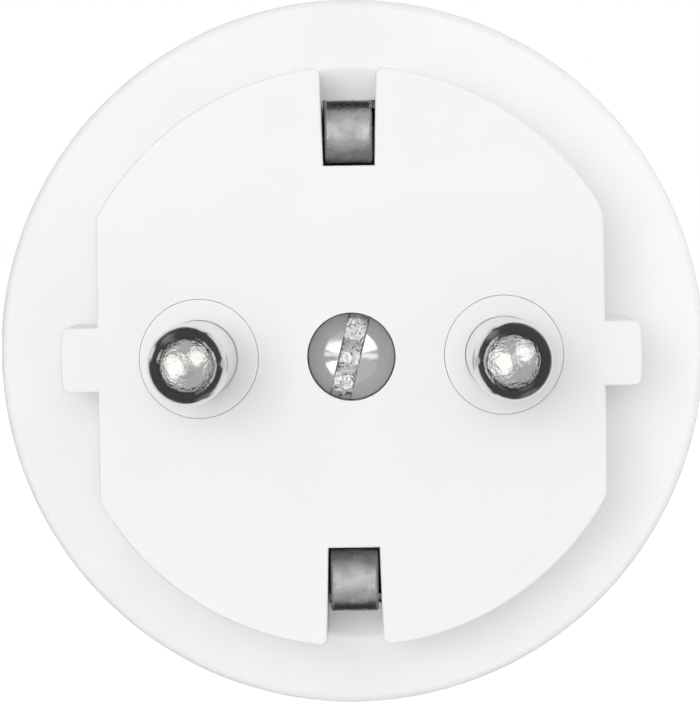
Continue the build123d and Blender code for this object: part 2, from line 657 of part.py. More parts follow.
def shutter_spring():
    """Torsion spring around the shutter's pivot."""
    wire_r, coil_r, pitch = 0.2, 2.7, 0.62
    start_y, height = 27.4, 2.5
    path = Helix(pitch=pitch, height=height, radius=coil_r)
    coil = sweep(Plane(origin=path @ 0, z_dir=path % 0) * Circle(wire_r), path, is_frenet=True)
    return Pos(0, start_y, 0) * Rot(-90, 0, 0) * coil


# ---- Socket side -----------------------------------------------------------------------
def recess(y0, y1):
    """Socket recess: a round with two flats, each with a groove for a guide rib."""
    flats = slab(-RECESS_FLAT_X, RECESS_FLAT_X, y0, y1, -BIG, BIG)
    grooves = slab(-BIG, BIG, y0, y1, -GROOVE_HALF_Z, GROOVE_HALF_Z)
    return rod(RECESS_R, y0, y1) & (flats + grooves)


def in_front_plane(edge):
    """True for an edge that lies in the plane of the socket's front."""
    return all(abs((edge @ t).Y - FRONT_Y) < 1e-4 for t in (0, 1))


def socket_shell():
    """Socket cup with its front rim, recess and pin holes."""
    cup = rod(CUP_R, FLOOR_Y, FRONT_Y) + rod(RIM_R, RIM_Y, FRONT_Y)
    cup = fillet([e for e in cup.edges() if in_front_plane(e)], 0.5)
    cup = cup - recess(RECESS_Y, FRONT_Y + 1)
    mouth = [e for e in cup.edges() if in_front_plane(e)
             and hypot((e @ 0).X, (e @ 0).Z) < RECESS_R + EPS]
    cup = chamfer(mouth, 0.35)
    for x in (-PIN_PITCH_X, PIN_PITCH_X):
        cup = cup - rod(HOLE_R, FLOOR_Y - 1, RECESS_Y + 1, x)
        cup = cup - cone(HOLE_R, HOLE_R + HOLE_CHAMFER, RECESS_Y - HOLE_CHAMFER, RECESS_Y, x)
    spring_room_x = SPRING_HALF_X + 0.5
    return cup - mirrored_slab(spring_room_x, FLOOR_Y - 1, SPRING_END_Y + 1, 18.9, 22.0)


def socket_insert():
    """Socket cup with the screw bosses, the shutter's pivot and its four stops."""
    boss_r, stop_r = 2.1, 0.7
    plate_end = PLATE_Y + PLATE_T
    cup = socket_shell()
    for z in (-CARRIER_SCREW_Z, CARRIER_SCREW_Z):
        cup = cup + rod(boss_r, plate_end + 0.02, FLOOR_Y + EPS, 0, z)
        cup = cup - rod(CARRIER_SCREW_R + FIT, PLATE_Y, FLOOR_Y + 1, 0, z)
    cup = cup + rod(PIVOT_R, PIVOT_END_Y, FLOOR_Y + EPS)
    for angle in SHUTTER_STOP_ANGLES:
        for turn in (0, 180):
            x, z = polar(SHUTTER_STOP_R, angle + turn)
            cup = cup + rod(stop_r, plate_end + FIT, FLOOR_Y + EPS, x, z)
    return cup


def shutter():
    """Turning child-protection shutter: a hub with two ramped wings over the pin holes."""
    y1 = SHUTTER_Y + SHUTTER_T
    ramp_start_x, ramp_rise, ramp_slope = 5.2, 0.9, 10
    wing = sector(SHUTTER_R, 0, SHUTTER_HALF_ANGLE, SHUTTER_Y, y1)
    above = slab(0, BIG, 0, 4, -SHUTTER_R, SHUTTER_R)
    ramp = Pos(0, y1 - ramp_rise, 0) * Rot(ramp_slope, 0, 0) * above
    wing = wing - (ramp & slab(ramp_start_x, BIG, 0, BIG, -BIG, BIG))
    plate = both_ends(wing) + rod(SHUTTER_HUB_R, SHUTTER_Y, y1)
    return plate - rod(PIVOT_R + 0.06, 0, BIG)


def outer_sleeve():
    """Round barrel between the rear cover and the light ring."""
    sleeve = tube(BODY_R, SLEEVE_R, SEAM_Y + FIT, RING_Y)
    outer = [e for e in sleeve.edges() if abs(e.length - 2 * pi * BODY_R) < 0.01]
    sleeve = chamfer(outer, SEAM_BEVEL)
    return sleeve - rod_x(BUTTON_R + BUTTON_GAP, 15, 30, BUTTON_Y)


def light_ring():
    """Frosted ring that closes the barrel, with three light guides reaching back."""
    skirt_y = 46.6
    back_y = RING_Y + FIT
    ring = rod(BODY_R, back_y, FRONT_Y)
    ring = fillet([e for e in ring.edges() if in_front_plane(e)], 1.3)
    ring = chamfer([e for e in ring.edges() if (e @ 0).Y < back_y + EPS], SEAM_BEVEL)
    ring = ring + rod(SLEEVE_R - FIT, skirt_y, back_y)
    ring = ring - rod(RING_INNER_R, 0, BIG)
    ring = ring - rod(RIM_R + FIT, RIM_Y - 0.03, BIG)
    for angle in LED_ANGLES:
        guide = sector(SLEEVE_R - EPS, angle, 3.5, GUIDE_Y, skirt_y + 0.4)
        ring = ring + (guide - rod(RING_INNER_R, 0, BIG))
    return ring


NODES = {
    "rear_cover": rear_cover,
    "outer_sleeve": outer_sleeve,
    "light_ring": light_ring,
    "socket_insert": socket_insert,
    "pin_collar_left": lambda: pin_collar(-PIN_PITCH_X),
    "pin_collar_right": lambda: pin_collar(PIN_PITCH_X),
    "line_pin": lambda: contact_pin(-PIN_PITCH_X),
    "neutral_pin": lambda: contact_pin(PIN_PITCH_X),
    "centre_screw": centre_screw,
    "earth_bridge": earth_bridge,
    "earth_spring_top": lambda: earth_spring(1),
    "earth_spring_bottom": lambda: earth_spring(-1),
    "contact_carrier": contact_carrier,
    "carrier_screws": carrier_screws,
    "line_receptacle": lambda: receptacle(-PIN_PITCH_X),
    "neutral_receptacle": lambda: receptacle(PIN_PITCH_X),
    "shutter": shutter,
    "shutter_spring": shutter_spring,
    "main_board": main_board,
    "relay": relay,
    "film_capacitor": film_capacitor,
    "input_capacitor": lambda: can_capacitor(-10.0, -8.0, 11.5),
    "output_capacitor": lambda: can_capacitor(10.0, -8.0, 9.0),
    "varistor": varistor,
    "fuse_resistor": fuse_resistor,
    "choke": choke,
    "shunt": shunt,
    "metering_chip": lambda: chip(-6.6, -9.0, 5.0, 3.6, 1.4),
    "power_supply_chip": lambda: chip(6.4, -10.2, 4.6, 2.6, 1.4),
    "switch_board": lambda: side_board(1),
    "radio_board": lambda: side_board(-1),
    "radio_shield": radio_shield,
    "tact_switch": tact_switch,
    "tact_plunger": tact_plunger,
    "power_button": power_button,
    "led_board": led_board,
    "status_leds": status_leds,
}

for name, make in NODES.items():
    export_step(make(), f"parts/{name}.step")
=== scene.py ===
import json
from math import cos, pi, radians, sin, sqrt

import bmesh
import bpy
from mathutils import Matrix, Vector


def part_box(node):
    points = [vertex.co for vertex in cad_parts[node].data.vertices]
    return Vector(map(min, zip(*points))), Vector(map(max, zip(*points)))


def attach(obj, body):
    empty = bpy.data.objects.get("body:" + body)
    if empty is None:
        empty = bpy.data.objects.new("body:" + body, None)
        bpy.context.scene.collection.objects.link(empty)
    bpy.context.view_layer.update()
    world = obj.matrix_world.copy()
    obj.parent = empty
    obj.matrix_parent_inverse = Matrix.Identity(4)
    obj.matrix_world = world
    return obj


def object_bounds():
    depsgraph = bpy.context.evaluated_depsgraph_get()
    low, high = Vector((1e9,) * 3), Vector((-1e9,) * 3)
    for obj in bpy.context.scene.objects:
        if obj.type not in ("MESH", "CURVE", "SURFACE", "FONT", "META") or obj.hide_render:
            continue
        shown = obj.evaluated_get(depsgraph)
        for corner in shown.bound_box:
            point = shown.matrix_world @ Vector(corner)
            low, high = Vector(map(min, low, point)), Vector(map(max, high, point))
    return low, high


# Looks of a plug-through energy meter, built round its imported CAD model. Metres.
# The plug axis is Y: the pins point to -Y, the socket faces +Y, +Z is up, +X has the button.

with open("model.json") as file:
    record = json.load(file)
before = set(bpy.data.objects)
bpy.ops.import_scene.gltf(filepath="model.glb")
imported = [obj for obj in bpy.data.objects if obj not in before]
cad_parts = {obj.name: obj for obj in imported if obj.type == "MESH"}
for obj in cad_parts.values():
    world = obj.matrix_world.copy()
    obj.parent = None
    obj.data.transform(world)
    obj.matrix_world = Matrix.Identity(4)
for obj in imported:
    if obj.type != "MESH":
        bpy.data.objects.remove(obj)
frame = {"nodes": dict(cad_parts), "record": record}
cad_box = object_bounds()
MM = 0.001

nodes = frame["nodes"]


# ---- Finishes ------------------------------------------------------------------------
MIX_A, MIX_B, MIX_RESULT = 6, 7, 2     # the colour sockets of a Mix node, by number


class Finish:
    """A node material whose patterns are laid out in millimetres of the object's space."""

    def __init__(self, name, colour, roughness, metallic=0.0, **sockets):
        self.material = bpy.data.materials.new(name)
        self.material.use_nodes = True
        self.tree = self.material.node_tree
        self.shader = self.tree.nodes["Principled BSDF"]
        self.normal = None
        self.colour = (*colour, 1.0)
        self.shader.inputs["Base Color"].default_value = self.colour
        self.shader.inputs["Roughness"].default_value = roughness
        self.shader.inputs["Metallic"].default_value = metallic
        for socket, value in sockets.items():
            self.shader.inputs[socket.replace("_", " ")].default_value = value
        place = self.add("ShaderNodeTexCoord")
        self.place = self.scaled(place.outputs["Object"], (1 / MM, 1 / MM, 1 / MM))

    def add(self, kind):
        return self.tree.nodes.new(kind)

    def link(self, source, target):
        self.tree.links.new(source, target)

    def scaled(self, vector, factors):
        """The vector with each of its parts multiplied by a factor."""
        node = self.add("ShaderNodeVectorMath")
        node.operation = "MULTIPLY"
        self.link(vector, node.inputs[0])
        node.inputs[1].default_value = factors
        return node.outputs[0]

    def noise(self, size, detail=2.0, stretch=(1, 1, 1), warp=0.0):
        """Cloudy pattern with features about size mm across, longer where stretch is more."""
        node = self.add("ShaderNodeTexNoise")
        vector = self.scaled(self.place, tuple(1 / s for s in stretch))
        self.link(vector, node.inputs["Vector"])
        node.inputs["Scale"].default_value = 1.0 / size
        node.inputs["Detail"].default_value = detail
        node.inputs["Distortion"].default_value = warp
        return node.outputs["Fac"]

    def cells(self, size, feature="F1", metric="EUCLIDEAN"):
        """Cell pattern: distance to the nearest of points scattered about size mm apart."""
        node = self.add("ShaderNodeTexVoronoi")
        node.feature = feature
        node.distance = metric
        self.link(self.place, node.inputs["Vector"])
        node.inputs["Scale"].default_value = 1.0 / size
        return node.outputs["Distance"]

    def along(self, axis):
        """Position along one axis, in millimetres."""
        node = self.add("ShaderNodeSeparateXYZ")
        self.link(self.place, node.inputs[0])
        return node.outputs["XYZ".index(axis)]

    def from_axis(self, centre):
        """Distance in millimetres from a line along Y through centre (x, z)."""
        shift = self.add("ShaderNodeVectorMath")
        shift.operation = "SUBTRACT"
        self.link(self.place, shift.inputs[0])
        shift.inputs[1].default_value = (centre[0], 0, centre[1])
        return self.distance(self.scaled(shift.outputs[0], (1, 0, 1)))

    def distance(self, vector=None):
        """Length of a vector, or of the place itself."""
        node = self.add("ShaderNodeVectorMath")
        node.operation = "LENGTH"
        self.link(self.place if vector is None else vector, node.inputs[0])
        return node.outputs["Value"]

    def fit(self, value, low, high, out_low=0.0, out_high=1.0, smooth=False):
        """Maps low..high to out_low..out_high and clamps it."""
        node = self.add("ShaderNodeMapRange")
        if smooth:
            node.interpolation_type = "SMOOTHSTEP"
        self.link(value, node.inputs["Value"])
        node.inputs["From Min"].default_value = low
        node.inputs["From Max"].default_value = high
        node.inputs["To Min"].default_value = out_low
        node.inputs["To Max"].default_value = out_high
        return node.outputs["Result"]

    def maths(self, operation, first, second):
        """One sum of two values, each a socket or a number."""
        node = self.add("ShaderNodeMath")
        node.operation = operation
        for i, value in enumerate((first, second)):
            if isinstance(value, (int, float)):
                node.inputs[i].default_value = value
            else:
                self.link(value, node.inputs[i])
        return node.outputs[0]

    def times(self, first, second):
        return self.maths("MULTIPLY", first, second)

    def tint(self, factor, colour, base=None):
        """Mixes colour over the base colour where factor is 1, and returns the result."""
        node = self.add("ShaderNodeMix")
        node.data_type = "RGBA"
        self.link(factor, node.inputs[0])
        if base is None:
            node.inputs[MIX_A].default_value = self.colour
        else:
            self.link(base, node.inputs[MIX_A])
        node.inputs[MIX_B].default_value = (*colour, 1.0)
        self.link(node.outputs[MIX_RESULT], self.shader.inputs["Base Color"])
        return node.outputs[MIX_RESULT]

    def rough(self, value):
        self.link(value, self.shader.inputs["Roughness"])

    def bump(self, height, depth):
        """Adds relief of the given depth in millimetres on top of what is there."""
        node = self.add("ShaderNodeBump")
        node.inputs["Distance"].default_value = depth * MM
        self.link(height, node.inputs["Height"])
        if self.normal is not None:
            self.link(self.normal, node.inputs["Normal"])
        self.normal = node.outputs["Normal"]
        self.link(self.normal, self.shader.inputs["Normal"])


def moulded(name, colour, roughness=0.42, grain=0.12, grain_depth=0.002, shift=0.985, **sockets):
    """Moulded plastic: eroded mould grain, faint flow clouds, handled patches."""
    f = Finish(name, colour, roughness, **sockets)
    darker = tuple(c * shift for c in colour)
    f.tint(f.fit(f.noise(7.0, 3), 0.35, 0.7), darker)
    patches = f.noise(2.4, 4, warp=0.6)
    f.rough(f.fit(patches, 0.3, 0.7, roughness - 0.05, roughness + 0.06))
    f.bump(f.noise(9.0, 1), 0.02)
    f.bump(f.noise(grain, 2), grain_depth)
    return f


def plated(name, colour, roughness=0.16, brush=(1, 1, 1), brush_size=0.12, brush_depth=0.0015,
           darker=0.86):
    """Plated metal: cloudy plating, tool marks along one axis, roughness in patches."""
    f = Finish(name, colour, roughness, metallic=1.0)
    f.tint(f.fit(f.noise(1.6, 4), 0.4, 0.75), tuple(c * darker for c in colour))
    patches = f.noise(0.7, 4, warp=0.5)
    f.rough(f.fit(patches, 0.3, 0.75, roughness * 0.75, roughness * 1.5))
    f.bump(f.noise(brush_size, 2, stretch=brush), brush_depth)
    return f


def white_housing():
    """Satin white ABS, for the rear cover and the barrel."""
    return moulded("white_housing", (0.90, 0.90, 0.898), roughness=0.40)


def white_socket():
    """Smoother white plastic of the socket cup."""
    return moulded("white_socket", (0.89, 0.89, 0.887), roughness=0.34, grain_depth=0.0012)


def white_collar():
    return moulded("white_collar", (0.91, 0.91, 0.908), roughness=0.38, grain_depth=0.0012)


def white_button():
    return moulded("white_button", (0.89, 0.89, 0.886), roughness=0.32, grain_depth=0.001)


def frosted_diffuser():
    """Frosted translucent ring: milky, softly lit through, with a fine etched surface."""
    f = Finish("frosted_diffuser", (0.80, 0.83, 0.86), 0.38, IOR=1.49, Subsurface_Weight=1.0,
               Subsurface_Radius=(1.0, 1.1, 1.3), Subsurface_Scale=1.2 * MM)
    f.tint(f.fit(f.noise(5.0, 2), 0.4, 0.7), (0.84, 0.86, 0.89))
    f.rough(f.fit(f.noise(0.5, 3), 0.3, 0.7, 0.32, 0.46))
    f.bump(f.noise(0.09, 2), 0.002)
    return f


NOSE_START_Y = -16.2       # the pin's nose, and where its dimples have their full depth
NOSE_FULL_Y = -16.7        # (these and the next ones in millimetres)
CORE_R = 1.52              # dimpled core of the nose, and where it has faded out
CORE_FADED_R = 1.80


def nickel_pin(centre_x):
    """Bright nickel: a pressed, dimpled ring on the nose, lengthwise scratches behind it."""
    f = Finish("nickel_pin", (0.80, 0.79, 0.775), 0.10, metallic=1.0)
    f.tint(f.fit(f.noise(1.2, 4), 0.45, 0.8), (0.70, 0.69, 0.67))
    radius = f.from_axis((centre_x, 0))
    nose = f.fit(f.along("Y"), NOSE_START_Y, NOSE_FULL_Y)
    core = f.times(f.fit(radius, CORE_FADED_R, CORE_R, smooth=True), nose)
    ring = f.times(core, f.fit(f.maths("ADD", radius, f.noise(0.7, 1)), 1.25, 1.95))
    f.bump(f.times(f.noise(0.75, 1, warp=0.4), core), 0.09)
    f.bump(f.times(f.cells(0.17, feature="SMOOTH_F1"), ring), 0.045)
    f.bump(f.times(f.noise(0.12, 1), ring), 0.045)
    f.bump(f.times(f.noise(0.18, 2), core), 0.024)
    scratches = f.noise(0.10, 3, stretch=(1, 40, 1))
    f.bump(f.fit(scratches, 0.55, 0.7), 0.0012)
    rough = f.fit(f.noise(0.5, 4), 0.35, 0.75, 0.10, 0.20)
    f.rough(f.maths("ADD", rough, f.times(ring, 0.06)))
    return f


SLOT_TILT = 14.2           # degrees that the screw's slot leans
SLOT_HALF = 0.66           # half its width, and how far it is off the head's centre, in mm
SLOT_SHIFT = -0.1
SLOT_BLUR = 0.02


def chrome_screw():
    """Bright plated screw, dulled inside the slot, with painted shade in dark blotches there and
    along the slot's edges.
    """
    f = Finish("chrome_screw", (0.90, 0.90, 0.91), 0.10, metallic=1.0)
    lean = radians(SLOT_TILT)
    sideways = f.times(f.maths("SUBTRACT", f.along("X"), SLOT_SHIFT), cos(lean))
    across = f.maths("SUBTRACT", sideways, f.times(f.along("Z"), sin(lean)))
    across = f.maths("ABSOLUTE", across, 0.0)
    slot = f.fit(across, SLOT_HALF + SLOT_BLUR, SLOT_HALF - SLOT_BLUR)
    # Dark blotches inside the slot: painted shade of its depth, laid over the dulled slot colour.
    marks = f.times(f.fit(f.noise(0.34, 4, warp=1.0), 0.56, 0.64), slot)
    scuffed = f.tint(f.times(slot, f.fit(f.noise(0.5, 3), 0.4, 0.6, 0.0, 0.6)),
                     (0.78, 0.78, 0.785))
    slot_shaded = f.tint(marks, (0.20, 0.20, 0.205), base=scuffed)
    # Darker band along the slot's edges: painted shade where the slot's walls would be.
    slot_edge_shade = f.times(slot, f.fit(across, SLOT_HALF - 0.12, SLOT_HALF - 0.04))
    f.tint(f.times(slot_edge_shade, f.fit(f.noise(0.4, 2), 0.35, 0.6)), (0.22, 0.22, 0.225), base=slot_shaded)
    rough = f.fit(f.noise(0.3, 4), 0.3, 0.7, 0.10, 0.20)
    f.rough(f.maths("ADD", rough, f.times(slot, 0.04)))
    f.bump(f.times(f.noise(0.42, 3, warp=0.5), slot), 0.08)
    f.bump(f.noise(1.3, 2, warp=0.3), 0.035)
    return f


BEND_Z = (15.75, 16.35)    # where the earth strip's outer bend is darkened by painted dark reflection with tarnish specks, in millimetres
BEND_Y = (5.0, 4.0)


def nickel_strip():
    """Dull nickel on stamped strip: rolling lines, pits, speckles, and painted dark reflection
    with tarnish specks on the outer bend.
    """
    f = Finish("nickel_strip", (0.70, 0.695, 0.685), 0.30, metallic=1.0)
    clouds = f.tint(f.fit(f.noise(0.9, 4), 0.42, 0.72), (0.50, 0.495, 0.49))
    outwards = f.maths("ADD", f.maths("ABSOLUTE", f.along("Z"), 0.0), f.noise(0.4, 3))
    # Painted dark reflection on the outer bend, made patchy like tarnish specks by noise.
    bend = f.times(f.fit(outwards, *BEND_Z, 0.0, 0.8), f.fit(f.along("Y"), *BEND_Y))
    bend = f.times(bend, f.fit(f.noise(0.2, 3), 0.3, 0.55, 0.3, 1.0))
    clouds = f.tint(bend, (0.14, 0.14, 0.135), base=clouds)
    pits = f.tint(f.fit(f.noise(0.10, 3), 0.66, 0.74), (0.30, 0.30, 0.295), base=clouds)
    f.tint(f.fit(f.noise(0.13, 2), 0.70, 0.76), (0.85, 0.85, 0.84), base=pits)
    f.rough(f.fit(f.noise(0.4, 4), 0.3, 0.7, 0.24, 0.40))
    f.bump(f.noise(0.11, 3), 0.010)
    f.bump(f.noise(1.3, 2), 0.05)
    f.bump(f.noise(0.10, 2, stretch=(1, 20, 20)), 0.004)
    return f


def zinc_screw():
    return plated("zinc_screw", (0.62, 0.63, 0.66), 0.28, brush_depth=0.004)


def contact_brass():
    return plated("contact_brass", (0.80, 0.60, 0.30), 0.24, brush=(1, 14, 1),
                  brush_depth=0.003, darker=0.8)


def shunt_alloy():
    return plated("shunt_alloy", (0.66, 0.50, 0.40), 0.34, brush=(14, 1, 1), brush_depth=0.003)


def spring_steel():
    return plated("spring_steel", (0.54, 0.54, 0.55), 0.26, brush=(6, 1, 6), brush_depth=0.002)


def tin_shield():
    return plated("tin_shield", (0.72, 0.72, 0.70), 0.30, brush=(1, 10, 1), brush_depth=0.002)


def grey_inner():
    return moulded("grey_inner", (0.50, 0.51, 0.52), roughness=0.5, grain_depth=0.003, shift=0.95)


def shutter_plastic():
    return moulded("shutter_plastic", (0.78, 0.78, 0.77), roughness=0.30, grain_depth=0.0015)


def plunger_plastic():
    return moulded("plunger_plastic", (0.72, 0.68, 0.55), roughness=0.36, grain_depth=0.0015)


def black_case():
    return moulded("black_case", (0.028, 0.028, 0.03), roughness=0.42, grain_depth=0.004,
                   shift=0.8)


def chip_black():
    return moulded("chip_black", (0.022, 0.022, 0.024), roughness=0.55, grain=0.08,
                   grain_depth=0.005, shift=0.8)


def yellow_case():
    return moulded("yellow_case", (0.74, 0.54, 0.09), roughness=0.33, grain_depth=0.002,
                   shift=0.92)


def circuit_board():
    """Green solder mask over copper tracks, which show as slightly raised lighter bands."""
    f = Finish("circuit_board", (0.012, 0.115, 0.05), 0.30)
    lanes = f.cells(1.6, metric="MANHATTAN")
    tracks = f.fit(lanes, 0.52, 0.56)
    masked = f.tint(tracks, (0.03, 0.20, 0.085))
    weave = f.noise(0.25, 1, stretch=(6, 1, 1))
    f.tint(f.fit(weave, 0.6, 0.8, 0, 0.3), (0.02, 0.15, 0.07), base=masked)
    f.rough(f.fit(f.noise(0.6, 3), 0.3, 0.7, 0.22, 0.38))
    f.bump(tracks, 0.03)
    f.bump(weave, 0.004)
    return f


def capacitor_can():
    """Dark shrink sleeve with fine wrinkles."""
    f = Finish("capacitor_can", (0.035, 0.04, 0.075), 0.28, Coat_Weight=0.3)
    f.tint(f.fit(f.noise(2.0, 3), 0.4, 0.7), (0.02, 0.022, 0.045))
    f.rough(f.fit(f.noise(0.6, 3), 0.3, 0.7, 0.2, 0.36))
    f.bump(f.noise(0.5, 3, stretch=(1, 6, 1)), 0.02)
    return f


def blue_coat():
    """Dipped epoxy: glossy with a lumpy surface."""
    f = Finish("blue_coat", (0.03, 0.12, 0.42), 0.22, Coat_Weight=0.4)
    f.tint(f.fit(f.noise(1.1, 3), 0.4, 0.7), (0.025, 0.09, 0.34))
    f.rough(f.fit(f.noise(0.5, 3), 0.3, 0.7, 0.16, 0.32))
    f.bump(f.noise(0.9, 3), 0.06)
    return f


def resistor_coat():
    """Flameproof coating with a powdery grain."""
    f = Finish("resistor_coat", (0.22, 0.42, 0.34), 0.60)
    f.tint(f.fit(f.noise(0.7, 4), 0.4, 0.7), (0.18, 0.35, 0.28))
    f.rough(f.fit(f.noise(0.4, 3), 0.3, 0.7, 0.5, 0.72))
    f.bump(f.noise(0.12, 3), 0.012)
    return f


def ferrite():
    """Sintered ferrite: dark grey with open pores."""
    f = Finish("ferrite", (0.05, 0.05, 0.054), 0.50, metallic=0.3)
    pores = f.fit(f.cells(0.3), 0.12, 0.22)
    f.tint(f.fit(f.noise(0.5, 4), 0.4, 0.7), (0.032, 0.032, 0.036))
    f.rough(f.fit(f.noise(0.3, 3), 0.3, 0.7, 0.4, 0.62))
    f.bump(pores, 0.02)
    return f


def led_lens():
    """Small clear package with phosphor showing through."""
    f = Finish("led_lens", (0.88, 0.80, 0.45), 0.18, Subsurface_Weight=0.4,
               Subsurface_Scale=0.3 * MM)
    f.tint(f.fit(f.noise(0.4, 3), 0.4, 0.7), (0.90, 0.84, 0.60))
    f.rough(f.fit(f.noise(0.2, 3), 0.3, 0.7, 0.12, 0.26))
    f.bump(f.noise(0.15, 2), 0.004)
    return f


FINISHES = {
    "white_housing": white_housing, "white_socket": white_socket,
    "white_collar": white_collar, "white_button": white_button,
    "frosted_diffuser": frosted_diffuser, "nickel_strip": nickel_strip,
    "chrome_screw": chrome_screw, "zinc_screw": zinc_screw, "grey_inner": grey_inner,
    "contact_brass": contact_brass, "shutter_plastic": shutter_plastic,
    "spring_steel": spring_steel, "circuit_board": circuit_board, "black_case": black_case,
    "yellow_case": yellow_case, "capacitor_can": capacitor_can, "blue_coat": blue_coat,
    "resistor_coat": resistor_coat, "ferrite": ferrite, "shunt_alloy": shunt_alloy,
    "chip_black": chip_black, "tin_shield": tin_shield, "plunger_plastic": plunger_plastic,
    "led_lens": led_lens,
}
PIN_NODES = ("line_pin", "neutral_pin")


def dress_cad_nodes():
    """Gives every CAD node the finish of its material slot, and returns the finishes."""
    made = {slot: make().material for slot, make in FINISHES.items()}
    for part in frame["record"]["subparts"]:
        name, slot = part["node"], part["material_slot"]
        if name in PIN_NODES:
            low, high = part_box(name)
            material = nickel_pin((low.x + high.x) / 2 / MM).material
        else:
            material = made[slot]
        for holder in nodes[name].material_slots:
            holder.material = material
    return made


# ---- Pieces -----------------------------------------------------------------------------
def new_piece(name, mesh, material, body):
    """Makes an object from a bmesh, and hangs it on its body."""
    data = bpy.data.meshes.new(name)
    mesh.to_mesh(data)
    mesh.free()
    piece = bpy.data.objects.new(name, data)
    bpy.context.scene.collection.objects.link(piece)
    piece.data.materials.append(material)
    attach(piece, body)
    return piece


BUTTON_CENTRE_Y = 27.0 * MM
DISH_CENTRE_X = 40.95 * MM
DISH_R = 18.2 * MM
MARK_R = 1.45 * MM
MARK_HALF_WIDTH = 0.15 * MM
MARK_PROUD = 0.03 * MM
MARK_SUNK = 0.06 * MM
MARK_GAP = 32              # half of the opening at the top of the mark, in degrees
MARK_STEPS = 48
BAR_FOOT = 0.35 * MM
BAR_TOP = 1.75 * MM
BAR_STEPS = 6


def on_button(y, z, lift):
    """Point on the button's dished face, lifted off it by lift."""
    x = DISH_CENTRE_X - sqrt(DISH_R ** 2 - y ** 2 - z ** 2) + lift
    return Vector((x, BUTTON_CENTRE_Y + y, z))


def ribbon(mesh, left, right):
    """Closed raised ribbon between two rows of (y, z) points on the button's face."""
    rows = []
    for points, lift in ((left, -MARK_SUNK), (left, MARK_PROUD),
                         (right, MARK_PROUD), (right, -MARK_SUNK)):
        rows.append([mesh.verts.new(on_button(y, z, lift)) for y, z in points])
    for a, b in ((0, 1), (1, 2), (2, 3), (3, 0)):
        for i in range(len(left) - 1):
            mesh.faces.new((rows[a][i], rows[a][i + 1], rows[b][i + 1], rows[b][i]))
    mesh.faces.new([rows[k][0] for k in range(4)])
    mesh.faces.new([rows[k][-1] for k in reversed(range(4))])


def button_mark(material):
    """The usual on/off mark: an open circle with a bar in its opening."""
    mesh = bmesh.new()
    left, right = [], []
    for i in range(MARK_STEPS + 1):
        turn = radians(90 + MARK_GAP + (360 - 2 * MARK_GAP) * i / MARK_STEPS)
        for row, radius in ((left, MARK_R + MARK_HALF_WIDTH), (right, MARK_R - MARK_HALF_WIDTH)):
            row.append((radius * cos(turn), radius * sin(turn)))
    ribbon(mesh, left, right)
    heights = [BAR_FOOT + (BAR_TOP - BAR_FOOT) * i / BAR_STEPS for i in range(BAR_STEPS + 1)]
    ribbon(mesh, [(-MARK_HALF_WIDTH, z) for z in heights],
           [(MARK_HALF_WIDTH, z) for z in heights])
    bmesh.ops.recalc_face_normals(mesh, faces=mesh.faces)
    return new_piece("button_mark", mesh, material, "button")


# ---- Stage, light and camera ------------------------------------------------------------
def towards(azimuth, elevation):
    """Unit vector. Azimuth 0 is the camera's side, positive to the left, in degrees."""
    a, e = radians(azimuth), radians(elevation)
    return Vector((-sin(a) * cos(e), -cos(a) * cos(e), sin(e)))


def softbox(name, azimuth, elevation, distance, size, radiance):
    """Square area light aimed at the origin, not mirrored by anything."""
    lamp = bpy.data.lights.new(name, "AREA")
    lamp.shape = "SQUARE"
    lamp.size = size
    lamp.energy = pi * size ** 2 * radiance
    holder = bpy.data.objects.new(name, lamp)
    bpy.context.scene.collection.objects.link(holder)
    back = towards(azimuth, elevation)
    holder.location = back * distance
    holder.rotation_mode = "QUATERNION"
    holder.rotation_quaternion = back.to_track_quat("Z", "Y")
    holder.visible_glossy = False


LIGHTS = (                 # name, azimuth, elevation, distance, size and radiance
    ("main", -3, 1, 0.80, 0.90, 0.87),
    ("front", 5, 1, 0.80, 0.28, 15.3),
    ("left_fill", 105, 10, 0.70, 0.60, 0.7),
    ("right_fill", -105, 10, 0.70, 0.60, 2.0),
    ("top_fill", 0, 100, 0.70, 0.60, 1.0),
    ("low_fill", 0, -100, 0.70, 0.60, 1.8),
    ("far_fill", 180, 20, 0.80, 0.74, 1.2),
)


AMBIENT = 0.38
MIRRORED_FRONT = 0.49      # greys that shiny surfaces mirror, by direction
MIRRORED_SIDES = 0.06
MIRRORED_BACK = 0.85
FRONT_ZONE = (0.04, -0.14)     # Y of the directions where a zone starts and where it is full
BACK_ZONE = (0.74, 0.88)
MIRRORED_SPOTS = (         # azimuth, elevation, angles where full and gone, grey
    (33, -4, 20, 42, 1.35),
    (-35, 23, 12, 34, 1.25),
    (138, 12, 4, 10, 0.90),
    (130, 45, 3, 16, 0.22),
    (-151, -44, 8, 15, 0.15),
)


def background(tree, grey):
    """One even grey for the world."""
    node = tree.nodes.new("ShaderNodeBackground")
    node.inputs["Strength"].default_value = grey
    node.inputs["Color"].default_value = (1, 1, 1, 1)
    return node.outputs[0]


def ramp(tree, value, low, high):
    """Runs smoothly from 0 where value is low to 1 where it is high."""
    node = tree.nodes.new("ShaderNodeMapRange")
    node.interpolation_type = "SMOOTHSTEP"
    tree.links.new(value, node.inputs["Value"])
    node.inputs["From Min"].default_value = low
    node.inputs["From Max"].default_value = high
    return node.outputs["Result"]


def nearness(tree, direction, target):
    """Cosine of the angle between a direction socket and a unit vector."""
    node = tree.nodes.new("ShaderNodeVectorMath")
    node.operation = "DOT_PRODUCT"
    tree.links.new(direction, node.inputs[0])
    node.inputs[1].default_value = target
    return node.outputs["Value"]


def blended(tree, factor, first, second):
    """Shader that goes from first to second as factor goes from 0 to 1."""
    node = tree.nodes.new("ShaderNodeMixShader")
    tree.links.new(factor, node.inputs[0])
    tree.links.new(first, node.inputs[1])
    tree.links.new(second, node.inputs[2])
    return node.outputs[0]


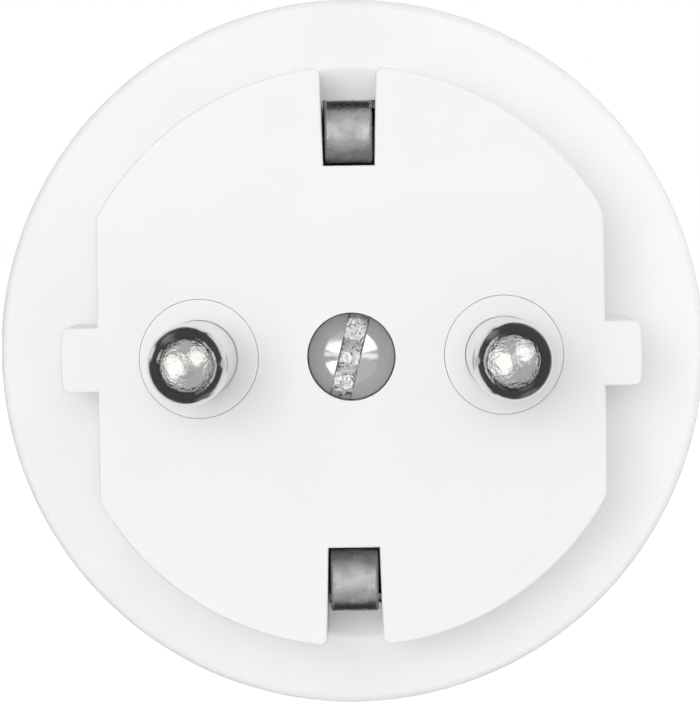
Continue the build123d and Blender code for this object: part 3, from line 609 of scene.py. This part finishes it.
def surroundings():
    """White backdrop, soft ambient light, and a mirrored room that is dark at the sides."""
    world = bpy.data.worlds.new("studio")
    bpy.context.scene.world = world
    world.use_nodes = True
    tree = world.node_tree
    tree.nodes.clear()
    direction = tree.nodes.new("ShaderNodeTexCoord").outputs["Generated"]
    mirrored = background(tree, MIRRORED_SIDES)
    forwards = nearness(tree, direction, (0, 1, 0))
    for zone, grey in ((FRONT_ZONE, MIRRORED_FRONT), (BACK_ZONE, MIRRORED_BACK)):
        mirrored = blended(tree, ramp(tree, forwards, *zone), mirrored, background(tree, grey))
    for azimuth, elevation, full, gone, grey in MIRRORED_SPOTS:
        near = nearness(tree, direction, towards(azimuth, elevation))
        spot = ramp(tree, near, cos(radians(gone)), cos(radians(full)))
        mirrored = blended(tree, spot, mirrored, background(tree, grey))
    path = tree.nodes.new("ShaderNodeLightPath")
    unseen = blended(tree, path.outputs["Is Glossy Ray"], background(tree, AMBIENT), mirrored)
    seen = blended(tree, path.outputs["Is Camera Ray"], unseen, background(tree, 1.0))
    output = tree.nodes.new("ShaderNodeOutputWorld")
    tree.links.new(seen, output.inputs["Surface"])


FLOOR_HALF = 1.5
FLOOR_GAP = 0.05 * MM
FLOOR_GLOW = 0.50          # light it gives off near the object, and far from it
FLOOR_FAR_GLOW = 1.0
FLOOR_FADE = (60, 260)     # and where one passes into the other, in millimetres


def floor():
    """Pale floor just under the barrel, which melts into the backdrop away from it."""
    mesh = bmesh.new()
    height = cad_box[0].z - FLOOR_GAP
    corners = ((-1, -1), (1, -1), (1, 1), (-1, 1))
    mesh.faces.new([mesh.verts.new((x * FLOOR_HALF, y * FLOOR_HALF, height)) for x, y in corners])
    data = bpy.data.meshes.new("floor")
    mesh.to_mesh(data)
    mesh.free()
    plane = bpy.data.objects.new("floor", data)
    bpy.context.scene.collection.objects.link(plane)
    finish = Finish("floor_paper", (0.9, 0.9, 0.9), 0.9)
    finish.shader.inputs["Emission Color"].default_value = (1, 1, 1, 1)
    away = finish.distance()
    glow = finish.fit(away, *FLOOR_FADE, FLOOR_GLOW, FLOOR_FAR_GLOW, smooth=True)
    finish.link(glow, finish.shader.inputs["Emission Strength"])
    finish.shader.inputs["Specular IOR Level"].default_value = 0.0
    data.materials.append(finish.material)
    plane.visible_diffuse = False
    plane.visible_glossy = False


CAMERA_YAW = 0.27          # degrees
CAMERA_DROP = 1.2
CAMERA_ROLL = -0.8
FACE_FROM_CAMERA = Vector((0.087, -0.36, -266.0)) * MM
LENS = 219.2
SENSOR = 36.0
CLIP_START = 0.01


def camera():
    """Long lens, almost square on to the plug face, from slightly above."""
    data = bpy.data.cameras.new("camera")
    data.lens = LENS
    data.sensor_width = SENSOR
    data.clip_start = CLIP_START
    turn = Matrix.Rotation(radians(CAMERA_YAW), 3, "Z")
    turn = turn @ Matrix.Rotation(radians(90 - CAMERA_DROP), 3, "X")
    turn = turn @ Matrix.Rotation(radians(CAMERA_ROLL), 3, "Z")
    holder = bpy.data.objects.new("camera", data)
    bpy.context.scene.collection.objects.link(holder)
    holder.matrix_world = Matrix.Translation(-(turn @ FACE_FROM_CAMERA)) @ turn.to_4x4()
    bpy.context.scene.camera = holder
    bpy.context.scene.view_settings.view_transform = "Standard"


finishes = dress_cad_nodes()
button_mark(finishes["grey_inner"])
for light in LIGHTS:
    softbox(*light)
surroundings()
floor()
camera()
